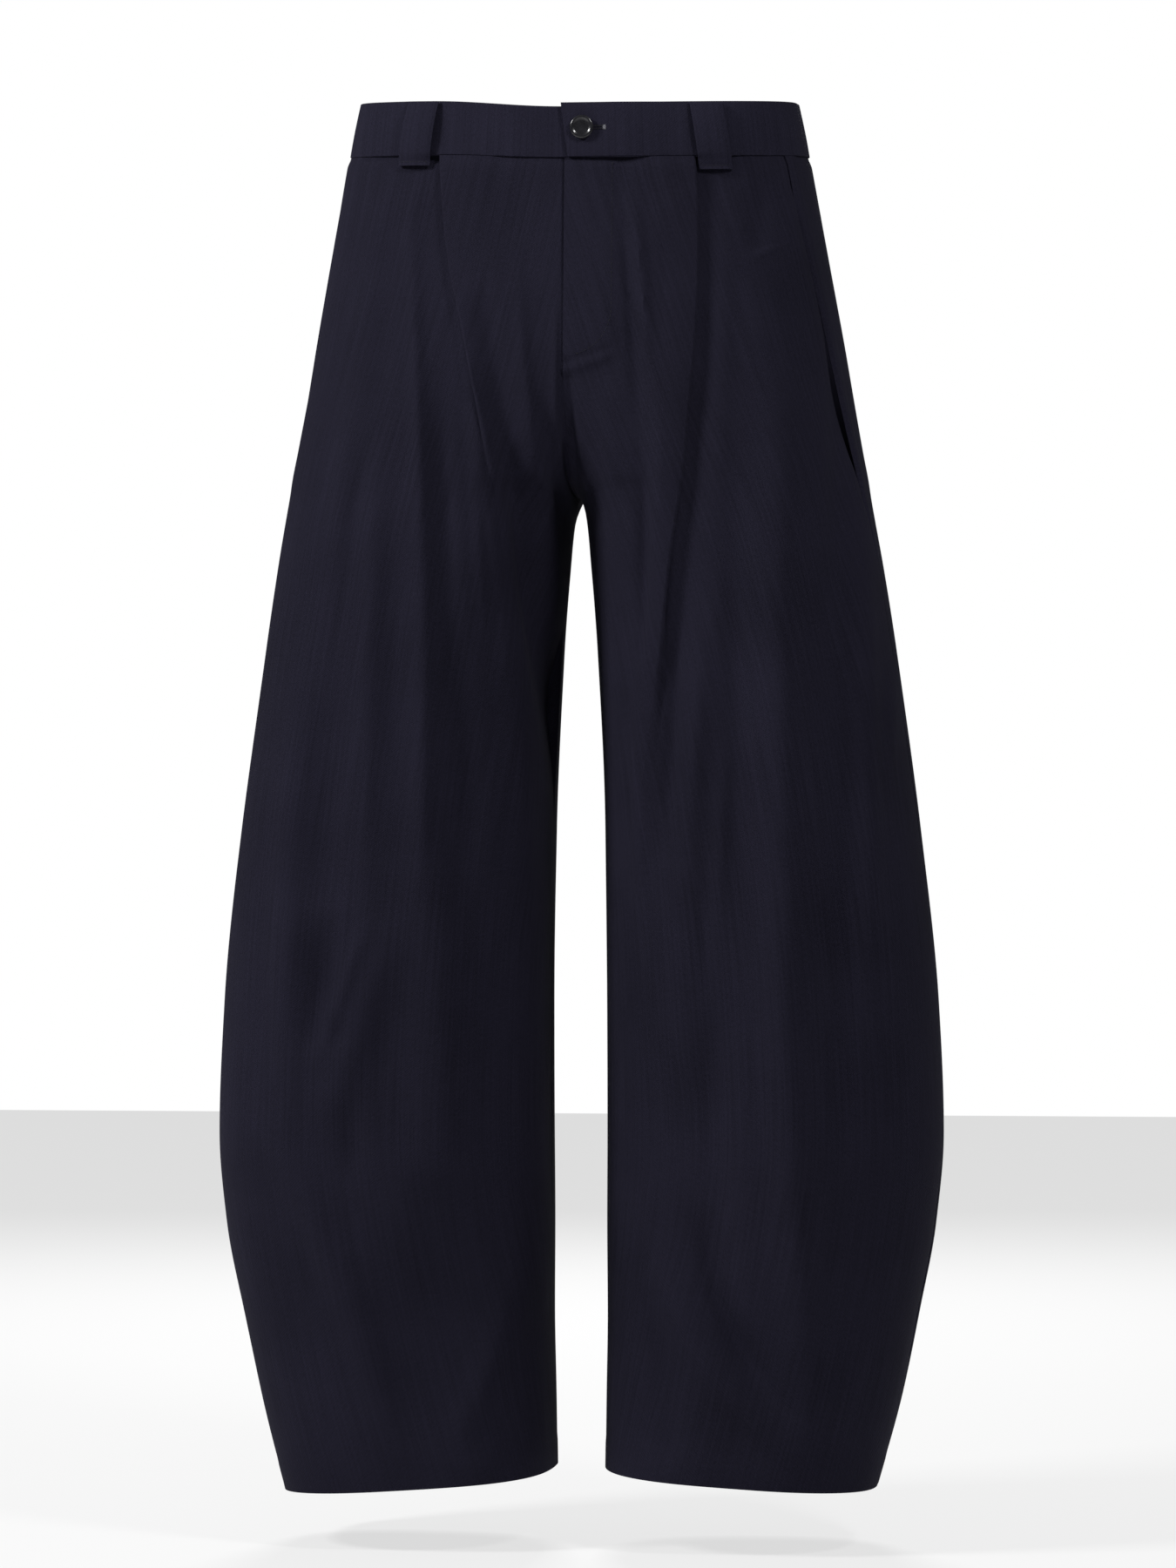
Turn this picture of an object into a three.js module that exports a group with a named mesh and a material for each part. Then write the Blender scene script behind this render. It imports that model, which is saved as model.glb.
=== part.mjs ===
// Wide-leg trousers, filled out as if worn, hollow, and open at the waist and both hems.
// Millimetres, +Z up. The front faces -Y, the wearer's left is +X, and heights are given as
// the drop below the front's top edge, which lies at Z = 0.
import * as THREE from 'three';

// Cloth and seams
const cloth = 1.2;
const seamGap = 0.3;

// Waist
const waistbandHeight = 40;
const waistbandThickness = 2.4;
const waistbandCrown = 0.3; // how far its middle stands out
const waistTilt = 0.095; // rise of the waistline for each millimetre towards the back
const lapLift = 3; // how far the over half of the waistband stands off the under half
const lapEnd = { top: -3, bottom: 2.4 }; // X of the over half's end
const underReach = 30; // how far the under half runs on behind the over half
const lapLevels = { from: 34, to: 76 }; // arcs over which the lap's lift levels out
const underSag = 2.5; // how far the under half's top sinks towards the centre front
const underLevels = 120; // arc at which that sag has levelled out
const rightRise = { height: 3, reach: 95 }; // the wearer's right side hangs higher, from this X on

// Legs, whose hems slant down to the side
const hemDrop = {
  left: { inner: 1003, outer: 1015 },
  right: { inner: 1006.5, outer: 1020.5 },
};

// Fly, a lap that stands proud along the centre front on the wearer's left
const fly = { width: 36, drop: 186, lift: 1.5, slope: 9, footSlope: 11 };

// Pleats, one on each front, with the upper layer towards the centre
const pleatOverlap = 15;
const pleatLayerGap = 0.6;
const pleatEase = 26; // distance over which the raised and sunken layers level out
const pleatClear = 5; // how far the layers run on level past each turn
const pleatRamp = { before: 0.2, past: -0.8, end: -0.25 }; // shares of half the pleat's depth
const pleatShut = { overlap: 0.5, bend: 0.6 }; // how closed a pleat is where each begins to open

// Belt loops and button
const loopWidth = 24;
const loopThickness = 1.6;
const loopStand = 3.2; // room for a belt behind the middle of a loop
const loopCrown = 0.7;
const button = { radius: 8.6, thickness: 3.2, x: 12.8, drop: 18.6, gap: 0.5 };

// Mesh counts
const ringSteps = 120;
const edgeSteps = 2000;
const panelRows = { seat: 13, leg: 19 };
const frontColumns = { inner: 7, outer: 7 };
const backColumns = 17;
const waistbandColumns = 26;
const waistbandCrowding = 1.25; // above 1, columns lie closer together at the front
const loopRows = 10;
const loopColumns = 4;

// Turns rows under a header into one list for each named column.
function table(columns, rows) {
  return Object.fromEntries(columns.map((name, i) => [name, rows.map((row) => row[i])]));
}

// Outer form of one leg and its half of the hips. The lobe runs from inner to side across and
// from -front to back in depth, and square is the power of its rounded outline. Above the
// crotch, inner lies past the centre, and the lobe is cut off at the centre seam.
const form = table(['drop', 'side', 'inner', 'front', 'back', 'square'], [
  [-20, 160, -160, 101, 106, 3.4],
  [0, 164, -164, 103, 108, 3.4],
  [40, 172, -172, 106, 112, 3.2],
  [120, 187, -165, 112, 124, 2.9],
  [165, 195, -131, 115, 131, 2.8],
  [213, 203, -72, 117, 136, 2.7],
  [250, 209.6, -29, 118.5, 136, 2.6],
  [270, 213.5, -11.3, 119, 134, 2.55],
  [283, 215.5, 0, 119, 132, 2.5],
  [301, 218.7, 6.6, 119.5, 130, 2.5],
  [333, 224.6, 9.5, 120, 128, 2.45],
  [398, 235.2, 14.2, 120, 126, 2.4],
  [528, 253.1, 20, 119, 123, 2.4],
  [658, 266.3, 21.2, 118, 122, 2.4],
  [756, 270.2, 21.2, 117, 122, 2.4],
  [821, 264.7, 21, 113, 118, 2.4],
  [886, 252.3, 20.2, 108, 112, 2.5],
  [951, 238.6, 18.9, 103, 105, 2.6],
  [1020, 219.7, 18.2, 98, 98, 2.7],
]);

// Side seams: their Y at each drop. The wearer's left one has come forward at the hip.
const sideSeam = table(['drop', 'left', 'right'], [
  [-20, -67, -28],
  [40, -67, -28],
  [128, -58, -26],
  [206, -52, -24],
  [268, -43, -21],
  [330, -34, -18],
  [450, -20, -14],
  [600, -12, -11],
  [1020, -8, -8],
]);

// Pleats: distance from the centre on each front, and how far each is closed.
const pleat = table(['drop', 'left', 'right', 'closed'], [
  [36, 95, 93, 1],
  [88, 97.5, 88.6, 1],
  [126, 97.8, 83, 0.95],
  [163, 96.6, 74.5, 0.9],
  [215, 93, 65, 0.8],
  [274, 88, 55.5, 0.68],
  [330, 80.5, 47.5, 0.55],
  [397, 74, 43, 0.35],
  [456, 70, 41, 0.15],
  [520, 64, 39, 0],
  [640, 66, 58, 0],
  [1020, 85, 85, 0],
]);

// Large folds: on each face, from the top to the bottom drop, its distance from the centre at
// both ends, how far it bows outwards in the middle, its half width, and its lift, which is
// below zero for a hollow.
const foldColumns = ['top', 'bottom', 'xTop', 'xBottom', 'bow', 'width', 'lift'];
const folds = {
  frontLeft: table(foldColumns, [
    [55, 310, 40, 62, 4, 7, 2],
    [95, 265, 38, 48, 0, 7, -2.4],
    [260, 975, 145, 166, -8, 17, 5.5],
    [300, 900, 186, 200, 4, 15, -3.5],
    [110, 290, 186, 194, 0, 8, -2],
    [310, 640, 199, 206, 6, 12, 3],
    [840, 960, 82, 156, 6, 14, -5],
    [850, 1000, 60, 120, 0, 24, 3],
    [520, 800, 90, 84, 0, 30, 3],
    [330, 560, 100, 96, 0, 20, -3],
  ]),
  frontRight: table(foldColumns, [
    [50, 420, 120, 105, -2, 13, 3.4],
    [60, 115, 58, 52, 0, 8, 1.6],
    [80, 330, 78, 38, 8, 9, -2.2],
    [245, 375, 150, 145, 0, 11, 2.6],
    [260, 360, 71, 61, 0, 8, 2],
    [195, 365, 42, 20, 0, 8, 2.2],
    [600, 690, 157, 186, 4, 7, 4],
    [590, 690, 186, 192, 0, 17, -6],
    [740, 985, 192, 142, 0, 17, 4.5],
    [770, 960, 108, 96, 0, 26, -5.5],
    [790, 950, 52, 54, 0, 16, 3],
    [430, 700, 112, 118, 6, 30, 3.4],
    [420, 640, 160, 172, 0, 18, -3],
  ]),
  backLeft: table(foldColumns, [
    [262, 420, 40, 110, 14, 12, 3.2],
    [300, 460, 34, 92, 10, 10, -3],
    [230, 640, 120, 128, 4, 24, 3.6],
    [420, 900, 170, 176, 6, 20, -3.8],
    [600, 980, 90, 110, -6, 22, 4],
    [820, 960, 150, 96, 0, 15, -4],
  ]),
  backRight: table(foldColumns, [
    [266, 400, 38, 118, 12, 13, 3],
    [310, 480, 36, 84, 8, 11, -3.2],
    [250, 700, 134, 120, -4, 22, 3.8],
    [380, 860, 176, 168, 4, 22, -3.4],
    [640, 1000, 104, 88, 6, 24, 3.8],
    [780, 940, 84, 146, 0, 16, -4.2],
  ]),
};

const mix = (a, b, t) => a + (b - a) * t;
const clamp = (x, low, high) => Math.min(high, Math.max(low, x));

// Rises smoothly from 0 to 1 between two values, which may be given in either order.
function ease(from, to, x) {
  const t = clamp((x - from) / (to - from), 0, 1);
  return t * t * (3 - 2 * t);
}

// A smooth curve through a table's column that never overshoots its rows.
function smoothCurve(at, values) {
  const secants = at.slice(1).map((x, i) => (values[i + 1] - values[i]) / (x - at[i]));
  const slopes = at.map((_, i) => {
    const before = secants[i - 1] ?? secants[i];
    const after = secants[i] ?? secants[i - 1];
    return before * after > 0 ? (2 * before * after) / (before + after) : 0;
  });
  return (x) => {
    const held = clamp(x, at[0], at.at(-1));
    const i = clamp(at.findIndex((row) => row > held) - 1, 0, at.length - 2);
    const last = held === at.at(-1) ? at.length - 2 : i;
    const span = at[last + 1] - at[last];
    const t = (held - at[last]) / span;
    return (
      values[last] * (1 + 2 * t) * (1 - t) ** 2 +
      values[last + 1] * t * t * (3 - 2 * t) +
      slopes[last] * span * t * (1 - t) ** 2 +
      slopes[last + 1] * span * t * t * (t - 1)
    );
  };
}

function curves(rows) {
  const names = Object.keys(rows).filter((name) => name !== 'drop');
  return Object.fromEntries(names.map((name) => [name, smoothCurve(rows.drop, rows[name])]));
}

const formAt = curves(form);
const sideSeamAt = curves(sideSeam);
const pleatAt = curves(pleat);

// The lobe at one drop: its centre, half width, depths and outline power, and the angle at
// which the centre seam cuts it, counted from its inner edge.
function lobe(drop) {
  const side = formAt.side(drop);
  const inner = formAt.inner(drop);
  const centre = (side + inner) / 2;
  const halfWidth = (side - inner) / 2;
  const square = formAt.square(drop);
  const cut = clamp((centre - seamGap / 2) / halfWidth, 0, 1);
  return {
    centre,
    halfWidth,
    power: 2 / square,
    front: formAt.front(drop),
    back: formAt.back(drop),
    cutAngle: Math.acos(cut ** (square / 2)),
    isLeg: inner > seamGap / 2,
  };
}

function lobePoint(shape, angle) {
  const c = Math.cos(angle);
  const s = Math.sin(angle);
  const depth = s > 0 ? shape.front : shape.back;
  const x = shape.centre - shape.halfWidth * Math.sign(c) * Math.abs(c) ** shape.power;
  return [Math.max(x, seamGap / 2), -depth * Math.sign(s) * Math.abs(s) ** shape.power];
}

// One section of the left half, from the front's inner edge round the side to the back's.
function ring(drop) {
  const shape = lobe(drop);
  const points = [];
  let length = 0;
  for (let i = 0; i <= ringSteps; i += 1) {
    const angle = mix(shape.cutAngle, 2 * Math.PI - shape.cutAngle, i / ringSteps);
    const [x, y] = lobePoint(shape, angle);
    if (i > 0) {
      length += Math.hypot(x - points[i - 1].x, y - points[i - 1].y);
    }
    points.push({ x, y, arc: length });
  }
  const trim = shape.isLeg ? seamGap / 2 : 0;
  return { points, start: trim, end: length - trim };
}

// The place at one arc of a section, with its outward direction. Below zero it runs on across
// the centre front, mirrored.
function place(section, arc) {
  if (arc < 0) {
    const mirrored = place(section, -arc);
    return { x: -mirrored.x, y: mirrored.y, nx: -mirrored.nx, ny: mirrored.ny };
  }
  const found = section.points.findIndex((point) => point.arc > arc);
  const i = found < 0 ? section.points.length - 1 : Math.max(found, 1);
  const a = section.points[i - 1];
  const b = section.points[i];
  const t = (arc - a.arc) / (b.arc - a.arc);
  const dx = (b.x - a.x) / (b.arc - a.arc);
  const dy = (b.y - a.y) / (b.arc - a.arc);
  return { x: mix(a.x, b.x, t), y: mix(a.y, b.y, t), nx: dy, ny: -dx };
}

// The arc at which a section passes a value of X or Y, looked for from one arc on.
function arcWhere(section, axis, value, from) {
  const i = section.points.findIndex((point) => point.arc > from && point[axis] > value);
  const a = section.points[i - 1];
  const b = section.points[i];
  return mix(a.arc, b.arc, (value - a[axis]) / (b[axis] - a[axis]));
}

function sideArc(section, drop, side) {
  return arcWhere(section, 'y', sideSeamAt[side](drop), section.end / 4);
}

function pleatArc(section, drop, side) {
  return arcWhere(section, 'x', pleatAt[side](drop), 0);
}

// Sum of the large folds at one place of a face.
function foldLift(rows, x, drop) {
  let lift = 0;
  rows.top.forEach((top, i) => {
    const t = (drop - top) / (rows.bottom[i] - top);
    if (t > 0 && t < 1) {
      const line = mix(rows.xTop[i], rows.xBottom[i], t) + rows.bow[i] * 4 * t * (1 - t);
      const across = Math.exp(-(((x - line) / rows.width[i]) ** 2));
      lift += rows.lift[i] * across * Math.sin(Math.PI * t) ** 0.7;
    }
  });
  return lift;
}

// Height of the waistline over the front's top edge, at a place of the waist section. It rises
// towards the back, and on the wearer's right.
function waistRise(spot, sign) {
  const roll = sign < 0 ? rightRise.height * ease(0, rightRise.reach, spot.x) : 0;
  return waistTilt * (spot.y + form.front[1]) + roll;
}

// The section of a pleat at one drop, as steps along and out from its fold edge. The upper layer
// turns under at the edge, runs back by the overlap, turns again and goes on below. The turns keep
// their length and lose their bend as the pleat comes undone.
const layer = cloth + pleatLayerGap;
const outerTurn = (Math.PI * (layer + cloth)) / 2;
const innerTurn = (Math.PI * (layer - cloth)) / 2;
function pleatSteps(drop) {
  const closed = pleatAt.closed(drop);
  const overlap = Math.max(pleatOverlap * ease(pleatShut.overlap, 1, closed), 1);
  const bend = Math.PI * ease(0, pleatShut.bend, closed);
  const chords = [
    ...[1, 3, 5, 7].map((eighth) => [(eighth / 8) * bend, outerTurn / 4]),
    [bend, overlap],
    ...[5, 3, 1].map((sixth) => [(sixth / 6) * bend, innerTurn / 3]),
  ];
  const path = [{ along: 0, out: 0 }];
  chords.forEach(([heading, length]) => {
    const { along, out } = path.at(-1);
    path.push({ along: along + length * Math.cos(heading), out: out - length * Math.sin(heading) });
  });
  const edge = Math.max(...path.map(({ along }) => along));
  const under = path.at(-1);
  const half = -under.out / 2;
  const layers = path.map(({ along, out }) => ({ along: along - edge, out: out + half }));
  const foot = layers.at(-1).along;
  const start = Math.min(foot, layers[0].along);
  return [
    { along: start - pleatEase, out: pleatRamp.before * half },
    { along: start - pleatClear, out: half },
    ...layers,
    { along: mix(foot, pleatClear, 0.5), out: -half },
    { along: pleatClear * 2, out: pleatRamp.past * half },
    { along: pleatEase, out: pleatRamp.end * half },
  ];
}

// Y of a panel's inner edge: the centre seam, the crotch curve and then the inseam.
function innerEdgeY(drop, isFront) {
  const shape = lobe(drop);
  return lobePoint(shape, isFront ? shape.cutAngle : 2 * Math.PI - shape.cutAngle)[1];
}

// Drops that lie evenly spaced along a stretch of an edge, whose Y is given for each drop.
function evenDrops(edgeY, from, to, count) {
  const step = (to - from) / edgeSteps;
  const lengths = [0];
  for (let i = 0; i < edgeSteps; i += 1) {
    const rise = edgeY(from + (i + 1) * step) - edgeY(from + i * step);
    lengths.push(lengths.at(-1) + Math.hypot(step, rise));
  }
  return Array.from({ length: count }, (_, row) => {
    const target = (lengths.at(-1) * row) / count;
    return from + lengths.findIndex((value) => value >= target) * step;
  });
}

// The drop at which the centre seams end and the legs part.
function findCrotch() {
  const nearEnough = 0.001;
  let above = waistbandHeight;
  let below = hemDrop.left.inner;
  while (below - above > nearEnough) {
    const middle = (above + below) / 2;
    if (lobe(middle).isLeg) {
      below = middle;
    } else {
      above = middle;
    }
  }
  return below;
}

// The drops of a panel's rows along one edge, with a row at the crotch point.
function edgeDrops(edgeY, crotch, hem) {
  return [
    ...evenDrops(edgeY, waistbandHeight, crotch, panelRows.seat),
    ...evenDrops(edgeY, crotch, hem, panelRows.leg),
    hem,
  ];
}

// A closed wall from a grid of outer points: its inner face lies one thickness inside.
function wall(grid, thickness, flip) {
  const rows = grid.length;
  const columns = grid[0].length;
  const at = (r, c) => grid[clamp(r, 0, rows - 1)][clamp(c, 0, columns - 1)];
  const leastOpening = 0.6;
  const tangent = (before, here, after) => {
    const a = here.clone().sub(before);
    const b = after.clone().sub(here);
    const sum = (a.lengthSq() > 0 ? a.normalize() : a).clone();
    sum.add(b.lengthSq() > 0 ? b.normalize() : b);
    const opening = a.lengthSq() > 0 && b.lengthSq() > 0 ? Math.sqrt((1 + a.dot(b)) / 2) : 1;
    return { along: sum.normalize(), opening: Math.max(opening, leastOpening) };
  };
  const inner = grid.map((line, r) =>
    line.map((point, c) => {
      const across = tangent(at(r, c - 1), point, at(r, c + 1));
      const down = tangent(at(r - 1, c), point, at(r + 1, c));
      const inwards = down.along.clone().cross(across.along).normalize();
      const depth = (thickness / across.opening) * (flip ? -1 : 1);
      return point.clone().addScaledVector(inwards, -depth);
    }),
  );
  const vertices = [...grid.flat(), ...inner.flat()];
  const outerAt = (r, c) => r * columns + c;
  const innerAt = (r, c) => rows * columns + r * columns + c;
  const faces = [];
  const quad = (a, b, c, d) => faces.push(...(flip ? [a, c, b, a, d, c] : [a, b, c, a, c, d]));
  for (let r = 0; r < rows - 1; r += 1) {
    for (let c = 0; c < columns - 1; c += 1) {
      quad(outerAt(r, c), outerAt(r + 1, c), outerAt(r + 1, c + 1), outerAt(r, c + 1));
      quad(innerAt(r, c), innerAt(r, c + 1), innerAt(r + 1, c + 1), innerAt(r + 1, c));
    }
    quad(outerAt(r, 0), innerAt(r, 0), innerAt(r + 1, 0), outerAt(r + 1, 0));
    const c = columns - 1;
    quad(outerAt(r, c), outerAt(r + 1, c), innerAt(r + 1, c), innerAt(r, c));
  }
  for (let c = 0; c < columns - 1; c += 1) {
    quad(outerAt(0, c), outerAt(0, c + 1), innerAt(0, c + 1), innerAt(0, c));
    const r = rows - 1;
    quad(outerAt(r, c), innerAt(r, c), innerAt(r, c + 1), outerAt(r, c + 1));
  }
  const geometry = new THREE.BufferGeometry();
  const flat = vertices.flatMap((point) => point.toArray());
  geometry.setAttribute('position', new THREE.Float32BufferAttribute(flat, 3));
  geometry.setIndex(faces);
  geometry.computeVertexNormals();
  return geometry;
}

const group = new THREE.Group();

const finishes = {
  cloth: { color: 0x24242f, roughness: 0.85, metalness: 0 },
  waistband: { color: 0x262631, roughness: 0.85, metalness: 0 },
  loop: { color: 0x272732, roughness: 0.85, metalness: 0 },
  button: { color: 0x0b0b0e, roughness: 0.25, metalness: 0 },
};

function add(name, geometry, finish) {
  const mesh = new THREE.Mesh(geometry, new THREE.MeshStandardMaterial(finishes[finish]));
  mesh.name = name;
  group.add(mesh);
  return mesh;
}

// Places a step out from a section and mirrors it for the wearer's right.
function outerPoint(spot, lift, drop, sign) {
  return new THREE.Vector3(sign * (spot.x + spot.nx * lift), spot.y + spot.ny * lift, -drop);
}

// The raised lap of the fly, which levels out past its stitched edge and its rounded foot.
function flyStep(x, drop) {
  const across = 1 - ease(fly.width - fly.slope, fly.width + fly.slope, x);
  const down = 1 - ease(fly.drop - fly.footSlope, fly.drop + fly.footSlope, drop);
  return fly.lift * across * down;
}

// Drops of the rows along the edges of the panels on one side: the inner edges of its front and
// back, and the side seam, which the row through the crotch point meets lower down.
const crotchDrop = findCrotch();
const sideCrotch = crotchDrop + 30;
function panelEdges(side) {
  const { inner, outer } = hemDrop[side];
  return {
    front: edgeDrops((drop) => innerEdgeY(drop, true), crotchDrop, inner),
    back: edgeDrops((drop) => innerEdgeY(drop, false), crotchDrop, inner),
    seam: edgeDrops((drop) => sideSeamAt[side](drop), sideCrotch, outer),
  };
}
const edges = { left: panelEdges('left'), right: panelEdges('right') };
const signs = { left: 1, right: -1 };

// Drop of a panel's point, from its row and its share of the way from inner edge to side. The
// rows near the top follow the waist seam.
const seamLevel = ring(waistbandHeight);
const tiltedShare = 0.7; // share of the seat's rows that the tilt reaches
function panelDrop(side, face, row, share) {
  const plain = mix(edges[side][face][row], edges[side].seam[row], ease(0, 1, share));
  const start = face === 'front' ? seamLevel.start : seamLevel.end;
  const spot = place(seamLevel, mix(start, sideArc(seamLevel, waistbandHeight, side), share));
  const rise = waistRise(spot, signs[side]) - seamGap;
  return plain - rise * (1 - ease(0, tiltedShare, row / panelRows.seat));
}

// Front panel: columns from the inner edge to the pleat, through its layers, and on to the side.
function frontPanel(side) {
  const { inner, outer } = frontColumns;
  const layers = pleatSteps(waistbandHeight).length;
  const creases = side === 'left' ? folds.frontLeft : folds.frontRight;
  const step = (column, section, drop) => {
    const edge = pleatArc(section, drop, side);
    const steps = pleatSteps(drop);
    const seam = sideArc(section, drop, side) - seamGap / 2;
    if (column < inner) {
      return { arc: mix(section.start, edge + steps[0].along, column / inner), out: 0, seam };
    }
    if (column < inner + layers) {
      const { along, out } = steps[column - inner];
      return { arc: edge + along, out, seam };
    }
    const share = (column - inner - layers + 1) / outer;
    return { arc: mix(edge + steps.at(-1).along, seam, share), out: 0, seam };
  };
  const grid = edges[side].front.map((innerDrop, row) =>
    Array.from({ length: inner + layers + outer }, (_, column) => {
      const roughDrop = mix(innerDrop, edges[side].seam[row], 0.5);
      const rough = step(column, ring(roughDrop), roughDrop);
      const drop = panelDrop(side, 'front', row, clamp(rough.arc / rough.seam, 0, 1));
      const section = ring(drop);
      const { arc, out } = step(column, section, drop);
      const spot = place(section, arc);
      const lap = side === 'left' ? flyStep(spot.x, drop) : 0;
      return outerPoint(spot, out + foldLift(creases, spot.x, drop) + lap, drop, signs[side]);
    }),
  );
  return wall(grid, cloth, side === 'right');
}

// Back panel: even columns from the inner edge to the side seam, with folds on its back only.
const backFace = { from: -20, to: 40 }; // Y over which a back panel's folds set in
function backPanel(side) {
  const creases = side === 'left' ? folds.backLeft : folds.backRight;
  const grid = edges[side].back.map((_, row) =>
    Array.from({ length: backColumns + 1 }, (_unused, column) => {
      const share = column / backColumns;
      const drop = panelDrop(side, 'back', row, share);
      const section = ring(drop);
      const seam = sideArc(section, drop, side) + seamGap / 2;
      const spot = place(section, mix(section.end, seam, share));
      const lift = foldLift(creases, spot.x, drop) * ease(backFace.from, backFace.to, spot.y);
      return outerPoint(spot, lift, drop, signs[side]);
    }),
  );
  return wall(grid, cloth, side === 'left');
}

add('front_left', frontPanel('left'), 'cloth');
add('front_right', frontPanel('right'), 'cloth');
add('back_left', backPanel('left'), 'cloth');
add('back_right', backPanel('right'), 'cloth');

// Waistband halves: a profile of rounded edges, carried round from the front to the back.
const bandRound = 0.7;
const bandProfile = [
  [waistbandHeight, -bandRound],
  [waistbandHeight - bandRound, 0],
  [waistbandHeight / 2, waistbandCrown],
  [bandRound, 0],
  [0, -bandRound],
  [0, bandRound - waistbandThickness],
  [bandRound, -waistbandThickness],
  [waistbandHeight, -waistbandThickness],
];

// A point round the waist, at an arc of the section through the waistband's middle.
const waistLevel = ring(waistbandHeight / 2);
function bandPoint(arc, down, out, sign, sag) {
  const sunk = sag * (1 - down / waistbandHeight);
  const drop = down - waistRise(place(waistLevel, arc), sign) + sunk;
  const section = ring(drop);
  return outerPoint(place(section, (arc * section.end) / waistLevel.end), out, drop, sign);
}

function waistbandHalf(side) {
  const isOver = side === 'left';
  const loops = Array.from({ length: waistbandColumns + 1 }, (_, column) =>
    bandProfile.map(([down, out]) => {
      const start = isOver ? mix(lapEnd.top, lapEnd.bottom, down / waistbandHeight) : -underReach;
      const share = (column / waistbandColumns) ** waistbandCrowding;
      const arc = mix(start, waistLevel.end, share);
      const lift = isOver ? lapLift * (1 - ease(lapLevels.from, lapLevels.to, arc)) : 0;
      const sag = isOver ? 0 : underSag * (1 - ease(0, underLevels, arc));
      return bandPoint(arc, down, out + lift, signs[side], sag);
    }),
  );
  return sweep(loops, side === 'right');
}

// A closed body from a row of closed loops, capped at both ends with a fan.
function sweep(loops, flip) {
  const count = loops[0].length;
  const vertices = loops.flat();
  const faces = [];
  const face = (a, b, c) => faces.push(...(flip ? [a, c, b] : [a, b, c]));
  for (let i = 0; i < loops.length - 1; i += 1) {
    for (let j = 0; j < count; j += 1) {
      const next = (j + 1) % count;
      face(i * count + j, (i + 1) * count + j, (i + 1) * count + next);
      face(i * count + j, (i + 1) * count + next, i * count + next);
    }
  }
  const last = (loops.length - 1) * count;
  for (let j = 1; j < count - 1; j += 1) {
    face(0, j, j + 1);
    face(last, last + j + 1, last + j);
  }
  const geometry = new THREE.BufferGeometry();
  const flat = vertices.flatMap((point) => point.toArray());
  geometry.setAttribute('position', new THREE.Float32BufferAttribute(flat, 3));
  geometry.setIndex(faces);
  geometry.computeVertexNormals();
  return geometry;
}

add('waistband_left', waistbandHalf('left'), 'waistband');
add('waistband_right', waistbandHalf('right'), 'waistband');

// Belt loops: the side they are on, the arcs of their middles round the waist from the centre
// front, at the top and at the foot, and how far they run on below the waist seam.
const beltLoops = table(['name', 'side', 'top', 'foot', 'below'], [
  ['belt_loop_front_left', 'left', 104, 108, 10],
  ['belt_loop_front_right', 'right', 107, 110.5, 7.5],
  ['belt_loop_side_left', 'left', 320, 320, 9],
  ['belt_loop_side_right', 'right', 320, 320, 9],
  ['belt_loop_back', 'back', 0, 0, 9],
]);
const loopInset = 0.6; // how far a loop starts below the waistband's top edge
const loopBow = { stretch: 1.08, power: 0.6 }; // shape of a loop's stand along its length
const loopLanding = { above: 2, below: 4 }; // where a loop comes off the waistband onto the cloth
const loopSink = 0.6; // share of the step beside the pleat that a loop's foot follows

// How far the cloth under a front loop's foot stands in, beside the pleat's edge.
function footSink(fromPleat) {
  return fromPleat > 0 ? -layer * (1 - ease(0, pleatEase, fromPleat)) : 0;
}

// A loop is a strip that lies on the waistband at its ends and stands off it between them.
function beltLoop(i) {
  const side = beltLoops.side[i];
  const isBack = side === 'back';
  const isFront = beltLoops.name[i].includes('front');
  const grid = Array.from({ length: loopRows + 1 }, (_, row) =>
    Array.from({ length: loopColumns + 1 }, (_unused, column) => {
      const t = row / loopRows;
      const across = (2 * column) / loopColumns - 1;
      const shift = (across * loopWidth) / 2;
      const down = mix(loopInset, waistbandHeight + beltLoops.below[i], t);
      const centre = mix(beltLoops.top[i], beltLoops.foot[i], t);
      const rising = Math.sin(Math.PI * clamp(t * loopBow.stretch, 0, 1)) ** loopBow.power;
      const crown = loopCrown * (1 - across ** 2);
      const landed = ease(
        waistbandHeight - loopLanding.above,
        waistbandHeight + loopLanding.below,
        down,
      );
      const fromPleat = isFront ? centre + shift - pleatAt[side](waistbandHeight) : 0;
      const under = mix(waistbandCrown, loopSink * footSink(fromPleat), landed);
      const out = seamGap + loopThickness + loopStand * rising + crown + under;
      if (isBack) {
        return bandPoint(waistLevel.end - Math.abs(shift), down, out, Math.sign(shift || 1), 0);
      }
      return bandPoint(centre + shift, down, out, signs[side], 0);
    }),
  );
  return wall(grid, loopThickness, side !== 'left');
}

beltLoops.name.forEach((name, i) => add(name, beltLoop(i), 'loop'));

// Button: a turned disc with a raised rim and a dished face, on the waistband's over half.
function buttonGeometry() {
  const { radius, thickness } = button;
  const profile = [
    [0, 0],
    [radius * 0.7, 0],
    [radius * 0.95, thickness * 0.3],
    [radius, thickness * 0.6],
    [radius * 0.95, thickness * 0.9],
    [radius * 0.84, thickness],
    [radius * 0.72, thickness * 0.88],
    [radius * 0.45, thickness * 0.66],
    [0, thickness * 0.62],
  ];
  const segments = 32;
  const points = profile.map(([r, h]) => new THREE.Vector2(r, h));
  return new THREE.LatheGeometry(points, segments);
}

const disc = add('button', buttonGeometry(), 'button');
const seat = place(ring(button.drop), button.x);
disc.rotation.x = Math.PI;
disc.position.set(button.x, seat.y - lapLift - waistbandCrown - button.gap, -button.drop);

export default group;
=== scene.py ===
import math

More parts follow.
